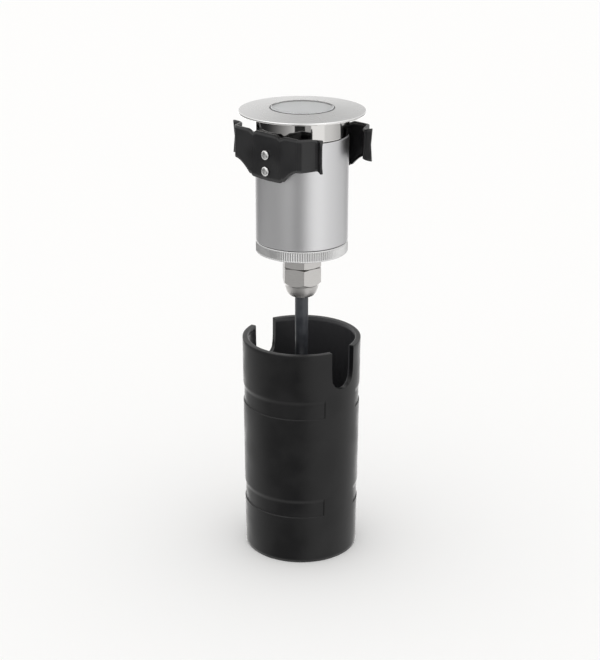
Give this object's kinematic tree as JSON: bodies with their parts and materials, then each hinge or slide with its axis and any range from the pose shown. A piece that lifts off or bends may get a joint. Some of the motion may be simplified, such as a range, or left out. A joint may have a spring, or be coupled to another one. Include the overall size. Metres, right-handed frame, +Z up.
{
  "type": "in ground well light",
  "caption": "Round in ground well light: a flanged stainless light head with spring clips and a cable gland, lifted above the black sleeve it drops into.",
  "frame": {"origin": "centre of the sleeve's foot, on the ground plane it stands on", "axes": "+Z up along the sleeve's and the light head's common axis; -Y faces the viewer of the picture; a front clip sits 45 degrees left of -Y and a rear clip opposite it"},
  "size_m": [0.0764, 0.0764, 0.2631],
  "materials": {
    "black_plastic": "satin moulded black plastic",
    "polished_steel": "polished stainless steel, mirror-bright on the collar",
    "brushed_steel": "stainless steel tube, finely brushed",
    "knurled_steel": "turned stainless steel, knurled edge",
    "glass": "flat toughened lens glass",
    "black_rubber": "soft black sealing rubber",
    "coated_spring": "spring steel in a smooth black coating",
    "screw_steel": "small bright steel screws and ends",
    "nickel_brass": "nickel-plated brass, satin",
    "cable_rubber": "dark rubber cable sheath",
    "aluminium": "turned bare aluminium",
    "reflector_metal": "bright spun reflector",
    "phosphor": "yellow phosphor over the light source",
    "white_board": "white solder mask",
    "green_board": "green circuit board",
    "dark_plastic": "dark moulded electronic parts",
    "white_plastic": "off-white moulded plastic",
    "lead_red": "lead insulation, red",
    "lead_brown": "core insulation; the cores are brown, blue and green with yellow"
  },
  "bodies": {
    "sleeve": {"sleeve": "black_plastic", "cable": "cable_rubber", "cable_cores": "lead_brown", "core_ferrules": "screw_steel"},
    "luminaire": {"flange_and_collar": "polished_steel", "lens_glass": "glass", "lens_seal": "black_rubber", "collar_o_ring": "black_rubber", "body_tube": "brushed_steel", "reflector": "reflector_metal", "light_chip": "phosphor", "light_board": "white_board", "board_screws": "screw_steel", "heat_sink": "aluminium", "lamp_leads": "lead_red", "driver_case": "white_plastic", "driver_board": "green_board", "driver_parts": "dark_plastic", "terminal_block": "white_plastic", "supply_leads": "lead_brown", "earth_lug": "screw_steel", "earth_screw": "screw_steel", "end_cap": "knurled_steel", "cap_o_ring": "black_rubber", "gland_body": "nickel_brass", "gland_o_ring": "black_rubber", "gland_seal": "black_rubber", "gland_nut": "nickel_brass", "cable_entry": "cable_rubber", "front_clip_plate": "coated_spring", "front_clip_screws": "screw_steel", "rear_clip_plate": "coated_spring", "rear_clip_screws": "screw_steel"},
    "front_left_wing_body": {"front_left_wing": "coated_spring", "front_left_tip": "coated_spring"},
    "front_right_wing_body": {"front_right_wing": "coated_spring", "front_right_tip": "coated_spring"},
    "rear_left_wing_body": {"rear_left_wing": "coated_spring", "rear_left_tip": "coated_spring"},
    "rear_right_wing_body": {"rear_right_wing": "coated_spring", "rear_right_tip": "coated_spring"}
  },
  "joints": [
    {"name": "luminaire_lift", "type": "slide", "parent": "sleeve", "child": "luminaire", "axis": [0, 0, 1], "range_m": [-0.1303, 0], "deforming": ["cable", "cable_cores", "core_ferrules", "front_left_tip", "front_right_tip", "rear_left_tip", "rear_right_tip"]},
    {"name": "front_left_flex", "type": "hinge", "parent": "luminaire", "child": "front_left_wing_body", "pos_m": [-0.02567, -0.01096, 0.2441], "axis": [0, 0, 1], "range_deg": [-40.5, 0]},
    {"name": "front_right_flex", "type": "hinge", "parent": "luminaire", "child": "front_right_wing_body", "pos_m": [-0.01096, -0.02567, 0.2441], "axis": [0, 0, 1], "range_deg": [0, 40.5]},
    {"name": "rear_left_flex", "type": "hinge", "parent": "luminaire", "child": "rear_left_wing_body", "pos_m": [0.02567, 0.01096, 0.2441], "axis": [0, 0, 1], "range_deg": [-40.5, 0]},
    {"name": "rear_right_flex", "type": "hinge", "parent": "luminaire", "child": "rear_right_wing_body", "pos_m": [0.01096, 0.02567, 0.2441], "axis": [0, 0, 1], "range_deg": [0, 40.5]}
  ],
  "couplings": [
    {"joint": "front_left_flex", "follows": "luminaire_lift", "rad_per_m": 5.35},
    {"joint": "front_right_flex", "follows": "luminaire_lift", "rad_per_m": -5.35},
    {"joint": "rear_left_flex", "follows": "luminaire_lift", "rad_per_m": 5.35},
    {"joint": "rear_right_flex", "follows": "luminaire_lift", "rad_per_m": -5.35}
  ]
}
